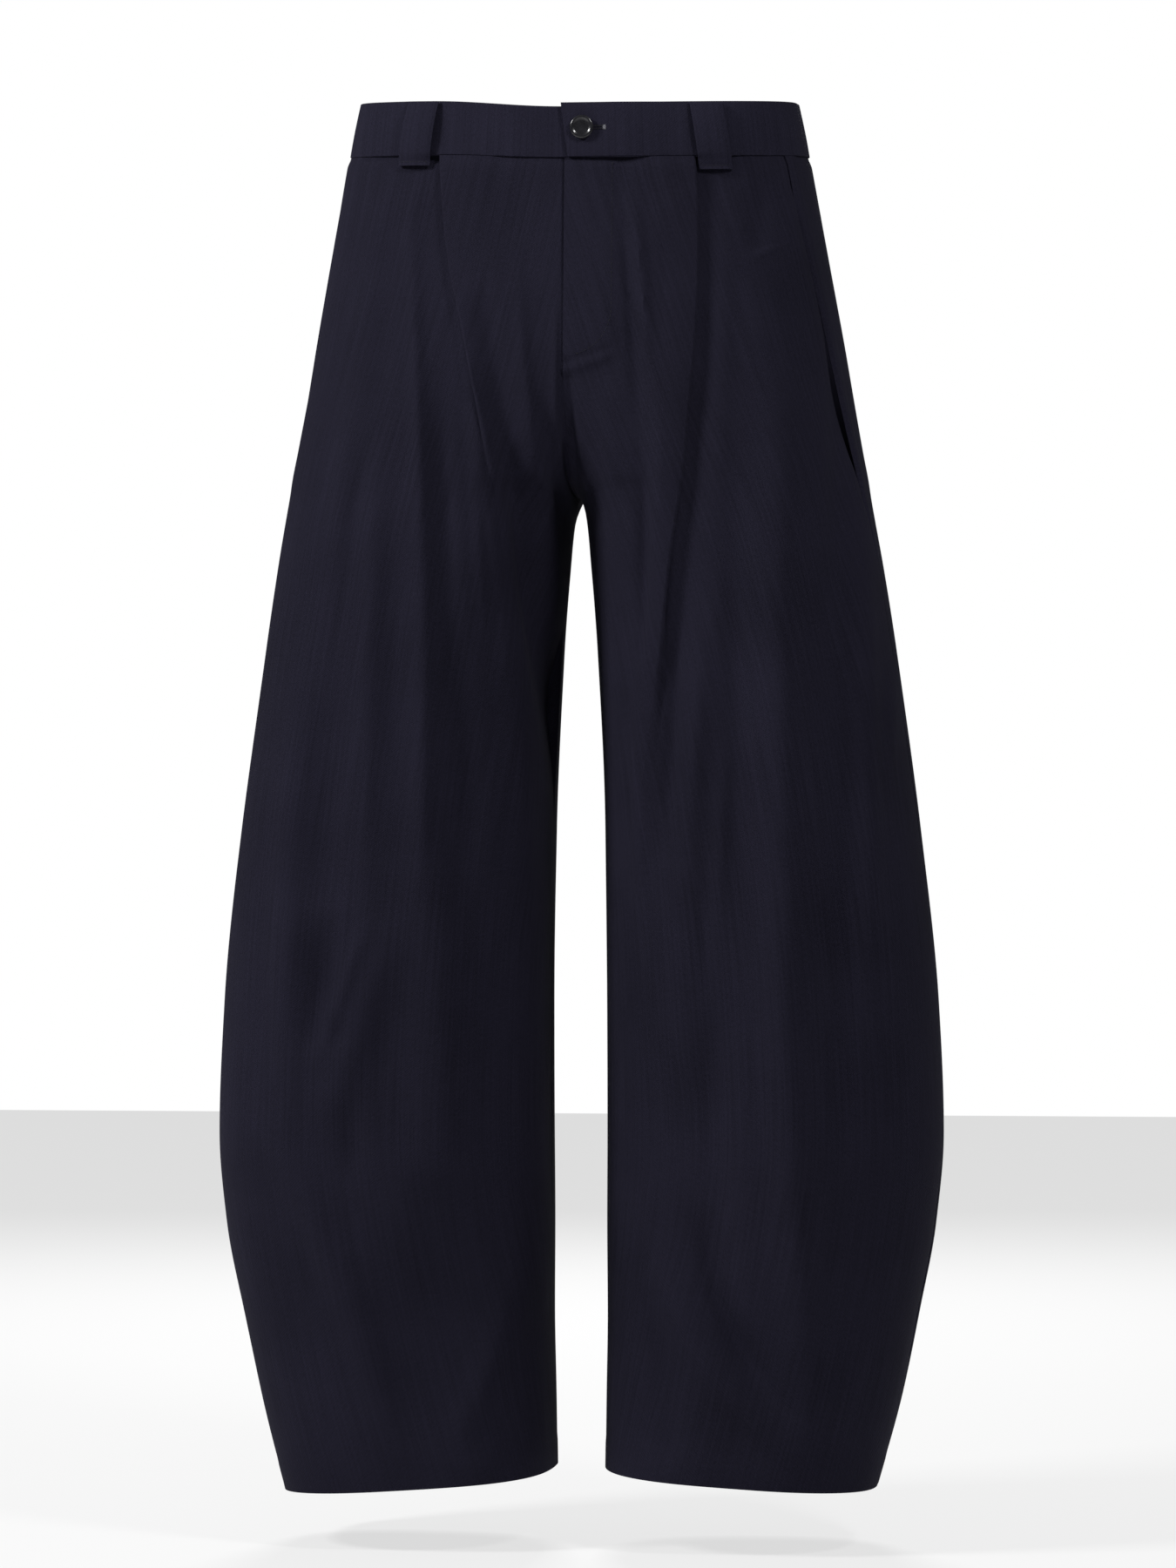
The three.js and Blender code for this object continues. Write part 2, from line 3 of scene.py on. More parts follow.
import bpy
import numpy as np
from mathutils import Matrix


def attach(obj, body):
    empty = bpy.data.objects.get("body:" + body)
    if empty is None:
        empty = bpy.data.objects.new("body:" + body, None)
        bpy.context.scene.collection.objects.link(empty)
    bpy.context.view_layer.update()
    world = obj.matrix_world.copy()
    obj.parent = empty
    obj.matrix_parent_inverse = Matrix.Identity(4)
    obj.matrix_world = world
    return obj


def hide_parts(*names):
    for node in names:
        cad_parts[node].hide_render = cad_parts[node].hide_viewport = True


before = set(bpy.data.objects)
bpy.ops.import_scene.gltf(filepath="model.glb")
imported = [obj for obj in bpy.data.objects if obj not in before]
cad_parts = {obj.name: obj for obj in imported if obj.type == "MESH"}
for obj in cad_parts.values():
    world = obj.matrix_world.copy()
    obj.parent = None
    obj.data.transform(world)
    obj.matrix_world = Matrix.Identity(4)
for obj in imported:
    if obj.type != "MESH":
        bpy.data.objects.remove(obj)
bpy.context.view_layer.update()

# Front panel on the wearer's left, in dark wool-like suiting, with a reverse pleat and a cut-on
# fly lap. It is one wall on the form's sections, with the pleat, the lap and the creases added.
# Lengths are in millimetres until the mesh is made, and heights are drops below the top edge.
CLOTH = 1.2
WAISTBAND_HEIGHT = 40
WAIST_TILT = 0.095  # rise towards the back for each millimetre
WAIST_FRONT = 103  # from the form's middle to its front, at the top edge
WAIST_STEP = 3  # by which the wearer's right is higher
HEM = {"left": (1001.5, 1015), "right": (1005, 1020.5)}  # inner and outer drop
HEM_TURN = 19  # height of the hem's turn-up
SIGN = {"left": 1, "right": -1}
COLUMN = {"left": 1, "right": 2}  # of a table with one column for each side
SEAT_ROWS, LEG_ROWS = 128, 126
FLY_LAP = 1.6
FLY_SWELL = 1.9
FLY_WIDTH = 38
FLY_FOOT = (189, 177)  # drop at the centre front and at the stitching
CENTRE_GROOVE = (0.5, 3)  # depth and width
WAIST_GROOVE = (1.5, 3.5)  # depth in millimetres and width in rows
SIDE_GROOVE = (0.5, 3)
HIP_GROOVE = (1.4, 12)

FORM = np.array([  # drop, side, inner, front, back, square
    [-20, 160, -160, 101, 106, 3.4],
    [0, 164, -164, 103, 108, 3.4],
    [40, 172, -172, 106, 112, 3.2],
    [120, 187, -165, 112, 124, 2.9],
    [165, 195, -131, 115, 131, 2.8],
    [213, 203, -72, 117, 136, 2.7],
    [250, 209.6, -29, 118.5, 136, 2.6],
    [270, 213.5, -11.3, 119, 134, 2.55],
    [283, 215.5, 0, 119, 132, 2.5],
    [301, 218.7, 6.6, 119.5, 130, 2.5],
    [333, 224.6, 9.5, 120, 128, 2.45],
    [398, 235.2, 14.2, 120, 126, 2.4],
    [528, 253.1, 20, 119, 123, 2.4],
    [658, 266.3, 21.2, 118, 122, 2.4],
    [756, 270.2, 21.2, 117, 122, 2.4],
    [821, 264.7, 21, 113, 118, 2.4],
    [886, 252.3, 21.4, 108, 112, 2.5],
    [951, 238.6, 20.3, 103, 105, 2.6],
    [1020, 219.7, 19.6, 98, 98, 2.7],
])
SIDE_SEAM = np.array([  # drop, y on the left, y on the right
    [-20, -67, -28],
    [40, -67, -28],
    [128, -58, -26],
    [206, -52, -24],
    [268, -43, -21],
    [330, -34, -18],
    [450, -20, -14],
    [600, -12, -11],
    [1020, -8, -8],
])
PLEAT = np.array([  # drop, x on the left, x on the right, share closed on the left, on the right
    [36, 95, 93, 1, 1],
    [88, 97.5, 88.6, 1, 1],
    [126, 97.8, 83, 0.95, 0.9],
    [163, 96.6, 74.5, 0.9, 0.6],
    [215, 93, 65, 0.8, 0.32],
    [274, 88, 55.5, 0.68, 0.2],
    [330, 80.5, 47.5, 0.55, 0.1],
    [397, 74, 43, 0.35, 0],
    [456, 70, 41, 0.15, 0],
    [520, 64, 39, 0, 0],
    [640, 66, 58, 0, 0],
    [1020, 85, 85, 0, 0],
])


def mix(a, b, t):
    """The value a share t of the way from a to b."""
    return a + (b - a) * t


def ease(start, stop, x):
    """Smooth step from 0 at start to 1 at stop: 3 t squared less 2 t cubed."""
    t = np.clip((x - start) / (stop - start), 0, 1)
    return t * t * (3 - 2 * t)


def table_at(table, column, x):
    """Cubic through a table's column.

    The slope at each row is the harmonic mean of its neighbours, so it never overshoots.
    """
    at, values = table[:, 0], table[:, column]
    secant = np.diff(values) / np.diff(at)
    before, after = np.r_[secant[0], secant], np.r_[secant, secant[-1]]
    turns = before * after <= 0
    slope = np.where(turns, 0, 2 * before * after / np.where(turns, 1, before + after))
    x = np.clip(x, at[0], at[-1])
    i = np.clip(np.searchsorted(at, x, side="right") - 1, 0, len(at) - 2)
    span = at[i + 1] - at[i]
    t = (x - at[i]) / span
    ends = values[i] * (1 + 2 * t) * (1 - t) ** 2 + values[i + 1] * t * t * (3 - 2 * t)
    return ends + slope[i] * span * t * (1 - t) ** 2 + slope[i + 1] * span * t * t * (t - 1)


probe = np.linspace(200, 400, 200001)
CROTCH = probe[np.argmax(table_at(FORM, 2, probe) > 0)]
CROTCH_ZONE = 24  # in which the levels crowd towards the crotch
LEVEL = np.concatenate([
    np.linspace(-30, CROTCH - CROTCH_ZONE, 300),
    CROTCH - CROTCH_ZONE * np.linspace(1, 0, 60)[1:] ** 3,
    CROTCH + CROTCH_ZONE * np.linspace(0, 1, 40)[1:] ** 3,
    np.linspace(CROTCH + CROTCH_ZONE, 1030, 700)[1:],
])
SHARE = np.linspace(0, 1, 601)


def lobe(drop):
    """Centre, half width, outline power, front and back depth of a section, and its cut's angle.

    The cut is the centre seam. Its angle is the arc cosine of the centre's share of the half width,
    raised to the power square over 2.
    """
    side, inner, front, back, square = (table_at(FORM, column, drop) for column in range(1, 6))
    centre, half = (side + inner) / 2, (side - inner) / 2
    cut = np.clip(centre / half, 0, 1)
    return centre, half, 2 / square, front, back, np.arccos(cut ** (square / 2))


def sections():
    """The form's outline at each level, sampled evenly along its length, with its outward direction.

    It is a rounded rectangle: x is the centre less the half width times the cosine to a power, and y is
    the depth times the sine to it.
    """
    centre, half, power, front, back, cut = (v[:, None] for v in lobe(LEVEL))
    angle = mix(cut, 2 * np.pi - cut, np.linspace(0, 1, 1601))
    c, s = np.cos(angle), np.sin(angle)
    x = np.maximum(centre - half * np.sign(c) * np.abs(c) ** power, 0)
    y = -np.where(s > 0, front, back) * np.sign(s) * np.abs(s) ** power
    arc = np.pad(np.cumsum(np.hypot(np.diff(x), np.diff(y)), axis=1), ((0, 0), (1, 0)))
    even = np.array([
        [np.interp(SHARE * a[-1], a, u), np.interp(SHARE * a[-1], a, v)]
        for a, u, v in zip(arc, x, y)
    ])
    dx, dy = np.gradient(even, axis=2).transpose(1, 0, 2)
    size = np.hypot(dx, dy)
    return np.stack([even[:, 0], even[:, 1], dy / size, -dx / size], axis=2), arc[:, -1]


SECTION, LENGTH = sections()


def arc_where(values, target, start):
    """Arc in each section at which values first pass the target, looked for past a share start of it."""
    k = np.maximum(((values > target[:, None]) & (SHARE > start)).argmax(axis=1), 1)
    rows = np.arange(LEVEL.size)
    a, b = values[rows, k - 1], values[rows, k]
    return (k - 1 + (target - a) / (b - a)) * LENGTH / (SHARE.size - 1)


SIDE_ARC = {
    side: arc_where(SECTION[..., 1], table_at(SIDE_SEAM, column, LEVEL), 0.25)
    for side, column in COLUMN.items()
}
PLEAT_ARC = {
    side: arc_where(SECTION[..., 0], table_at(PLEAT, column, LEVEL), 0)
    for side, column in COLUMN.items()
}


def place(drop, arc):
    """X, Y and outward direction on the form, between the four nearest samples.

    An arc below zero runs on, mirrored, across the centre front.
    """
    drop, arc = np.broadcast_arrays(drop, arc)
    row = np.interp(drop, LEVEL, np.arange(LEVEL.size))
    r = np.minimum(row.astype(int), LEVEL.size - 2)
    column = np.clip(np.abs(arc) / mix(LENGTH[r], LENGTH[r + 1], row - r), 0, 1) * (SHARE.size - 1)
    k = np.minimum(column.astype(int), SHARE.size - 2)
    u, v = (column - k)[..., None], (row - r)[..., None]
    upper = mix(SECTION[r, k], SECTION[r, k + 1], u)
    found = mix(upper, mix(SECTION[r + 1, k], SECTION[r + 1, k + 1], u), v)
    found[..., 0::2] *= np.where(arc < 0, -1, 1)[..., None]
    return found


def on_form(drop, arc, lift, sign):
    """Point at a lift out from the form, mirrored to the wearer's right where sign is below zero."""
    x, y, nx, ny = np.moveaxis(place(drop, arc), -1, 0)
    return np.stack(np.broadcast_arrays(sign * (x + nx * lift), y + ny * lift, -drop), axis=-1)


def fold_lift(folds, x, drop):
    """Sum of the folds. Each is a bell across its line, faded at both ends by a sine."""
    total = np.zeros(np.broadcast(x, drop).shape)
    for top, bottom, x_top, x_bottom, bow, width, lift in folds:
        t = np.clip((drop - top) / (bottom - top), 0, 1)
        line = mix(x_top, x_bottom, t) + bow * 4 * t * (1 - t)
        total += lift * np.exp(-(((x - line) / width) ** 2)) * np.sin(np.pi * t)
    return total


def wander(x, drop, seed):
    """Faint uneven waves of the cloth: a sum of nine sines, most of them 80 to 300 mm long."""
    rng = np.random.default_rng(seed)
    total = 0
    for _ in range(9):
        across, down, phase = rng.uniform(0.02, 0.075), rng.uniform(-0.03, 0.03), rng.uniform(0, 6.3)
        total = total + np.sin(across * x + down * drop + phase)
    return 0.16 * total


PLEAT_LAYER = CLOTH + 1  # from one layer to the next
PLEAT_OVERLAP = 15
PLEAT_REACH = 36  # over which the cloth beside the pleat comes back to the form


def pleat_steps(side, drop):
    """Steps along and out from the pleat's fold edge.

    They take half a turn under, a straight run back and half a turn again. Their headings shrink with the
    pleat as it opens.
    """
    closed = table_at(PLEAT, 2 + COLUMN[side], drop)[..., None]
    bend = np.pi * ease(0, 0.6, closed)
    overlap = np.maximum(PLEAT_OVERLAP * ease(0.5, 1, closed), 1)
    outer, straight, inner = 8, 5, 6
    turn = np.concatenate([
        (np.arange(outer) + 0.5) / outer,
        np.ones(straight),
        (inner - 0.5 - np.arange(inner)) / inner,
    ])
    arcs = np.concatenate([
        np.full(outer, np.pi * (PLEAT_LAYER + CLOTH) / 2 / outer),
        np.zeros(straight),
        np.full(inner, np.pi * (PLEAT_LAYER - CLOTH) / 2 / inner),
    ])
    length = arcs + overlap / straight * (arcs == 0)
    along = np.pad(np.cumsum(length * np.cos(turn * bend), axis=-1), [(0, 0)] * drop.ndim + [(1, 0)])
    out = np.pad(np.cumsum(-length * np.sin(turn * bend), axis=-1), [(0, 0)] * drop.ndim + [(1, 0)])
    half = -out[..., -1:] / 2
    along = along - along.max(axis=-1, keepdims=True)
    foot, start = along[..., -1:], np.minimum(along[..., -1:], along[..., :1])
    t_in = np.linspace(0, 1, 11)[:-1]
    t_out = np.linspace(0, 1, 17)[1:]
    run_on = mix(foot, PLEAT_REACH + 4, t_out)
    return (
        np.concatenate([mix(start - PLEAT_REACH, start - 4, t_in), along, run_on], axis=-1),
        np.concatenate([
            half * ease(0, 1, t_in),
            out + half,
            -half * (1 - ease(4, PLEAT_REACH + 4, run_on)),
        ], axis=-1),
    )


def inner_edge(drop, is_front):
    """Y of a panel's inner edge: the centre seam, the crotch curve and the inseam."""
    _, _, power, front, back, cut = lobe(drop)
    return (-front if is_front else back) * np.sin(cut) ** power


def edge_drops(edge_y, crotch, hem):
    """Drops of a panel's rows along one edge.

    They are evenly spaced from the waist seam to the crotch's row, and from there to the hem.
    """
    rows = []
    for start, stop, count in ((WAISTBAND_HEIGHT, crotch, SEAT_ROWS), (crotch, hem, LEG_ROWS)):
        fine = np.linspace(start, stop, 4001)
        length = np.r_[0, np.cumsum(np.hypot(np.diff(fine), np.diff(edge_y(fine))))]
        rows.append(np.interp(length[-1] * np.arange(count) / count, length, fine))
    return np.concatenate([*rows, [hem]])[:, None]


ROWS = {
    side: {
        "front": edge_drops(lambda drop: inner_edge(drop, True), CROTCH, inner),
        "back": edge_drops(lambda drop: inner_edge(drop, False), CROTCH, inner),
        "seam": edge_drops(lambda drop: table_at(SIDE_SEAM, COLUMN[side], drop), CROTCH + 30, outer),
    }
    for side, (inner, outer) in HEM.items()
}


def waist_rise(x, y, sign):
    """Height of the waistline over its front: a tilt to the back, and a step to the wearer's right."""
    return WAIST_TILT * (y + WAIST_FRONT) + np.where(sign < 0, WAIST_STEP * ease(0, 95, x), 0)


def panel_drop(side, face, share):
    """Drop of a panel's points, from their row and their share of the way to the side seam.

    The rows near the top follow the waist seam.
    """
    plain = mix(ROWS[side][face], ROWS[side]["seam"], ease(0, 1, share))
    start = 0 if face == "front" else np.interp(WAISTBAND_HEIGHT, LEVEL, LENGTH)
    arc = mix(start, np.interp(WAISTBAND_HEIGHT, LEVEL, SIDE_ARC[side]), share)
    x, y = np.moveaxis(place(WAISTBAND_HEIGHT, arc), -1, 0)[:2]
    rise = waist_rise(x, y, SIGN[side])
    row = np.arange(len(plain))[:, None]
    return plain - rise * (1 - ease(0, 0.7, row / SEAT_ROWS))


def front_grid(side, drop):
    """Arcs, lifts and the side seam's arc for the columns of a front.

    The columns are the plain inner part, the pleat's steps and the plain outer part.
    """
    edge = np.interp(drop, LEVEL, PLEAT_ARC[side])[..., None]
    seam = np.interp(drop, LEVEL, SIDE_ARC[side])[..., None]
    along, out = pleat_steps(side, drop)
    inner = mix(0, edge + along[..., :1], np.linspace(0, 1, 57)[:-1])
    outer = mix(edge + along[..., -1:], seam, np.linspace(0, 1, 63)[1:])
    plain_in, plain_out = np.zeros(inner.shape), np.zeros(outer.shape)
    return (
        np.concatenate([inner, edge + along, outer], axis=-1),
        np.concatenate([plain_in, out, plain_out], axis=-1),
        seam,
    )


def seam_groove(distance, depth, width):
    """Hollow in which the cloth turns in at a seam, at a distance from it."""
    return -depth * (1 - ease(0, width, distance))


def centre_groove(distance, drop):
    """Groove along a centre seam. It ends above the crotch curve, where a lift would part the two sides."""
    return seam_groove(distance, *CENTRE_GROOVE) * (1 - ease(110, 160, drop))


def panel_edges(side, drop, share):
    """Small lifts along a panel's top edge, where it is sewn in, and along its turned-up hem."""
    inner, outer = HEM[side]
    above = mix(inner, outer, ease(0, 1, share)) - drop - HEM_TURN
    hem = 0.35 * (1 - ease(-2, 2, above)) - 0.3 * np.exp(-(((above - 0.5) / 1.6) ** 2))
    row = np.arange(len(drop))[:, None]
    return hem + seam_groove(row, *WAIST_GROOVE)


def fly_step(x, drop):
    """The fly lap's lift: a step from the centre front to its stitching.

    It ends in a slanting foot, below which the cloth swells in a bell.
    """
    below = drop - mix(*FLY_FOOT, x / FLY_WIDTH)
    swell = FLY_SWELL * np.exp(-(((below - 7) / 4.5) ** 2))
    return (FLY_LAP * (1 - ease(-2, 2, below)) + swell) * (1 - ease(28, 44, x))


def seam_reach(drop):
    """Share of the side seam's step at a drop: it shows along the hip and fades out above and below."""
    return ease(45, 90, drop) * (1 - ease(280, 340, drop))


def front_surface(side, folds, seed):
    """Outer points of a front, and its cut as the distance from the side seam and the height.

    The columns follow the pleat, so each point's drop comes from its share of the way across, which is
    taken from a first pass at the row's middle drop.
    """
    rough = mix(ROWS[side]["front"], ROWS[side]["seam"], 0.5)[:, 0]
    arc, _, seam = front_grid(side, rough)
    share = np.clip(arc / seam, 0, 1)
    drop = panel_drop(side, "front", share)
    columns = np.arange(drop.shape[1])
    grids = front_grid(side, drop)
    arc, lift, seam = (g[:, columns, columns] if g.shape[-1] > 1 else g[..., 0] for g in grids)
    x, y = np.moveaxis(place(drop, arc), -1, 0)[:2]
    lift = lift + fold_lift(folds, x, drop) * ease(0, 6, arc) + wander(x, drop, seed) * ease(0, 30, arc)
    lift = lift + panel_edges(side, drop, share) + seam_groove(seam - arc, *SIDE_GROOVE)
    lift = lift + seam_groove(seam - arc, *HIP_GROOVE) * seam_reach(drop)
    lift = lift + (fly_step(x, drop) if side == "left" else centre_groove(arc, drop))
    return on_form(drop, arc, lift, SIGN[side]), np.stack([seam - arc, -drop], axis=-1) / 1000


def wall(grid, thickness, flip):
    """Closed wall on a grid of outer points.

    Each inner point lies one thickness in along the normal, or more where the grid bends across: the
    thickness over the cosine of half the bend.
    """
    rows, columns = grid.shape[:2]

    def chords(axis):
        step = np.diff(grid, axis=axis)
        step = step / np.maximum(np.linalg.norm(step, axis=-1, keepdims=True), 1e-9)
        none = np.zeros_like(step.take([0], axis=axis))
        before, after = np.concatenate([none, step], axis), np.concatenate([step, none], axis)
        inside = (before * before).sum(-1) * (after * after).sum(-1) > 0
        cosine = np.where(inside, np.sqrt(np.clip((1 + (before * after).sum(-1)) / 2, 0, 1)), 1)
        return before + after, cosine

    (across, opening), (down, _) = chords(1), chords(0)
    inwards = np.cross(down, across)
    inwards /= np.linalg.norm(inwards, axis=-1, keepdims=True)
    depth = thickness / np.maximum(opening, 0.6) * (-1 if flip else 1)
    points = np.concatenate([grid.reshape(-1, 3), (grid - inwards * depth[..., None]).reshape(-1, 3)])
    outer = np.arange(rows * columns).reshape(rows, columns)
    inner = outer + rows * columns

    def strip(a, b):
        return np.stack([a[:-1], b[:-1], b[1:], a[1:]], axis=-1).reshape(-1, 4)

    def sheet(a):
        return np.stack([a[:-1, :-1], a[1:, :-1], a[1:, 1:], a[:-1, 1:]], axis=-1).reshape(-1, 4)

    quads = np.concatenate([
        sheet(outer),
        sheet(inner)[:, ::-1],
        strip(outer[:, 0], inner[:, 0]),
        strip(inner[:, -1], outer[:, -1]),
        strip(inner[0], outer[0]),
        strip(outer[-1], inner[-1]),
    ])
    return points, quads[:, ::-1] if flip else quads


def add_piece(name, points, faces, uv, material, node, slot):
    """Mesh in metres from points in millimetres, smooth but for its rims, in place of its CAD node."""
    mesh = bpy.data.meshes.new(name)
    mesh.from_pydata(points / 1000, [], faces.tolist())
    corners = np.empty(len(mesh.loops), int)
    mesh.loops.foreach_get("vertex_index", corners)
    mesh.uv_layers.new(name="cut").data.foreach_set("uv", uv[corners].ravel())
    mesh.shade_smooth()
    mesh.set_sharp_from_angle(angle=math.radians(50))
    mesh.materials.append(material)
    piece = bpy.data.objects.new(name, mesh)
    bpy.context.scene.collection.objects.link(piece)
    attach(piece, "root")
    if node:
        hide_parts(node)
    return piece


def suiting(name, colour):
    """Dark twill: fine diagonal ribs and uneven upright threads as bump.

    Its colour has faint mottling and streaks, and it has a soft sheen.
    """
    material = bpy.data.materials.new(name)
    material.use_nodes = True
    nodes, links = material.node_tree.nodes, material.node_tree.links
    shader = nodes["Principled BSDF"]
    shader.inputs["Roughness"].default_value = 0.88
    shader.inputs["Specular IOR Level"].default_value = 0.05
    shader.inputs["Sheen Weight"].default_value = 0.03
    shader.inputs["Sheen Roughness"].default_value = 0.45
    shader.inputs["Sheen Tint"].default_value = (0.42, 0.42, 0.5, 1)
    place_on = nodes.new("ShaderNodeTexCoord")

    def stretched(scale, turn=0):
        mapping = nodes.new("ShaderNodeMapping")
        mapping.inputs["Scale"].default_value = scale
        mapping.inputs["Rotation"].default_value = (0, 0, turn)
        links.new(place_on.outputs["UV"], mapping.inputs["Vector"])
        return mapping.outputs["Vector"]

    def noise(vector, scale, detail):
        node = nodes.new("ShaderNodeTexNoise")
        node.inputs["Scale"].default_value = scale
        node.inputs["Detail"].default_value = detail
        links.new(vector, node.inputs["Vector"])
        return node.outputs["Fac"]

    def math_node(operation, a, b):
        node = nodes.new("ShaderNodeMath")
        node.operation = operation
        for socket, value in zip(node.inputs, (a, b)):
            if isinstance(value, float):
                socket.default_value = value
            else:
                links.new(value, socket)
        return node.outputs["Value"]

    ribs = nodes.new("ShaderNodeTexWave")
    ribs.inputs["Scale"].default_value = 230
    ribs.inputs["Distortion"].default_value = 1.2
    ribs.inputs["Detail Scale"].default_value = 1.5
    links.new(stretched((1, 1, 1), 0.9), ribs.inputs["Vector"])
    threads = noise(stretched((1500, 420, 1)), 1, 3)
    streaks = noise(stretched((520, 9, 1)), 1, 2)
    patches = noise(place_on.outputs["Object"], 11, 4)
    height = math_node("ADD", math_node("MULTIPLY", ribs.outputs["Fac"], 0.45), threads)
    bump = nodes.new("ShaderNodeBump")
    bump.inputs["Strength"].default_value = 0.55
    bump.inputs["Distance"].default_value = 0.0003
    links.new(height, bump.inputs["Height"])
    links.new(bump.outputs["Normal"], shader.inputs["Normal"])
    uneven = math_node("ADD", math_node("MULTIPLY", streaks, 0.35), math_node("MULTIPLY", patches, 0.35))
    uneven = math_node("ADD", uneven, math_node("MULTIPLY", threads, 0.5))
    ramp = nodes.new("ShaderNodeValToRGB")
    ramp.color_ramp.elements[0].position = 0.38
    ramp.color_ramp.elements[1].position = 0.82
    ramp.color_ramp.elements[0].color = (*(0.64 * v for v in colour), 1)
    ramp.color_ramp.elements[1].color = (*(1.46 * v for v in colour), 1)
    links.new(uneven, ramp.inputs["Fac"])
    links.new(ramp.outputs["Color"], shader.inputs["Base Color"])
    return material


CLOTH_MATERIAL = suiting("cloth", (0.0150, 0.0140, 0.0252))
FRONT_LEFT_FOLDS = [  # top, bottom, x at top, x at bottom, bow, half width, lift
    (48, 200, 47, 62, 1.5, 5, 4.4),
    (85, 250, 44, 57, 1, 5, -3.6),
    (230, 420, 57, 56, 2, 6, -4.4),
    (180, 430, 67, 64, 7, 8, 6.5),
    (395, 620, 62, 58, -4, 7, 6),
    (80, 190, 76, 82, 0, 9, -3),
    (100, 250, 90, 92, 0, 8, 2),
    (42, 520, 93, 64, 6.5, 4.5, 2.6),
    (370, 560, 81, 73, 0, 7, -5.3),
    (370, 590, 98, 88, 3, 8, 4.7),
    (460, 620, 119, 111, 0, 5, 2.2),
    (540, 660, 106, 101, 0, 7, -2.5),
    (60, 330, 113, 108, 4, 9, 2.5),
    (200, 345, 28, 48, 0, 9, 2.8),
    (235, 350, 44, 46, 0, 24, 1.4),
    (180, 300, 1, 4, 0, 6, -3.6),
    (45, 115, 141, 141, 0, 8, -2.5),
    (60, 130, 161, 165, 0, 7, 2),
    (103, 115, 154, 138, 0, 6, 1.4),
    (190, 760, 156, 162, 0, 15, 7),
    (560, 985, 155, 184, -4, 14, 7.5),
    (240, 620, 125, 129, 0, 13, -4.7),
    (600, 880, 118, 112, -6, 16, -5.8),
    (300, 900, 190, 204, 4, 15, -7),
    (110, 420, 192, 198, 4, 9, -5.5),
    (255, 660, 210, 225, 0, 9, 6.1),
    (400, 500, 234, 234, 0, 5, 2.5),
    (550, 730, 76, 84, 0, 18, 4.2),
    (690, 860, 88, 102, 0, 26, -4),
    (800, 966, 100, 170, -16, 11, -9),
    (820, 1000, 66, 176, -22, 15, 7.5),
    (860, 1000, 60, 78, 0, 12, -4.9),
]
points, uv = front_surface("left", FRONT_LEFT_FOLDS, 3)
front_left = add_piece(
    "front_left_cloth", *wall(points, CLOTH, False), np.concatenate([uv.reshape(-1, 2)] * 2),
    CLOTH_MATERIAL, "front_left", "cloth",
)

# Front panel on the wearer's right, in the same suiting, with a pleat of its own. It is made as
# the left one is, without the fly lap, and has the deepest crease, at the knee.
FRONT_RIGHT_FOLDS = [
    (46, 400, 117, 103, -4, 5, 4),
    (330, 600, 101, 104, 0, 6.5, 4),
    (50, 560, 114, 98, -2, 12, 1.8),
    (190, 430, 90, 84, 0, 8, -4.1),
    (370, 620, 78, 74, 0, 12, -6.6),
    (46, 465, 92, 40, -5.5, 5.5, 3.9),
    (84, 560, 69, 2, -5.5, 9, -7.5),
    (95, 400, 36, 2, 4, 6, 3.2),
    (140, 370, 4, 1, 3, 4, 2.9),
    (190, 300, 0, 0, 0, 4, -3.6),
    (44, 400, 135, 179, -2, 10, 2.2),
    (48, 240, 128, 134, 0, 8, -1),
    (220, 410, 144, 168, 0, 8, -2.4),
    (240, 620, 134, 144, 4, 8, 3),
    (250, 600, 121, 123, 0, 10, -2.4),
    (220, 400, 68, 58, 0, 4, 2.5),
    (370, 610, 43, 35, 0, 10, 6),
    (235, 350, 42, 44, 0, 22, 1.6),
    (540, 800, 94, 92, 0, 22, 6.5),
    (560, 860, 56, 52, 0, 24, -4),
    (400, 610, 172, 176, 0, 16, -5),
    (360, 800, 188, 204, 6, 14, 6.1),
    (590, 700, 176, 180, 0, 15, -9),
    (596, 706, 143, 181, 2, 7, 6),
    (590, 740, 126, 166, 0, 15, 5.5),
    (664, 690, 168, 164, 0, 6, -4.1),
    (715, 790, 160, 152, 0, 9, -4.1),
    (735, 1000, 218, 124, -10, 16, 8),
    (780, 990, 88, 92, 0, 34, -7),
    (800, 985, 36, 84, -14, 13, 5.5),
    (210, 480, 26, 3, 3, 6, 3.5),
    (230, 560, 45, 6, -4, 8, -4.5),
]
points, uv = front_surface("right", FRONT_RIGHT_FOLDS, 5)
front_right = add_piece(
    "front_right_cloth", *wall(points, CLOTH, True), np.concatenate([uv.reshape(-1, 2)] * 2),
    CLOTH_MATERIAL, "front_right", "cloth",
)

# Back panels, in the same suiting: plain, with a few soft folds below the seat. Each reaches from
# the centre back and the inseam to the side seam, where it lies a little proud of the front.
BACK_COLUMNS = 150
BACK_PROUD = 1.1  # by which the back stands over the front along the side seam
BACK_TURN = (2.6, 2.5)  # depth and width of its edge's turn down to the front


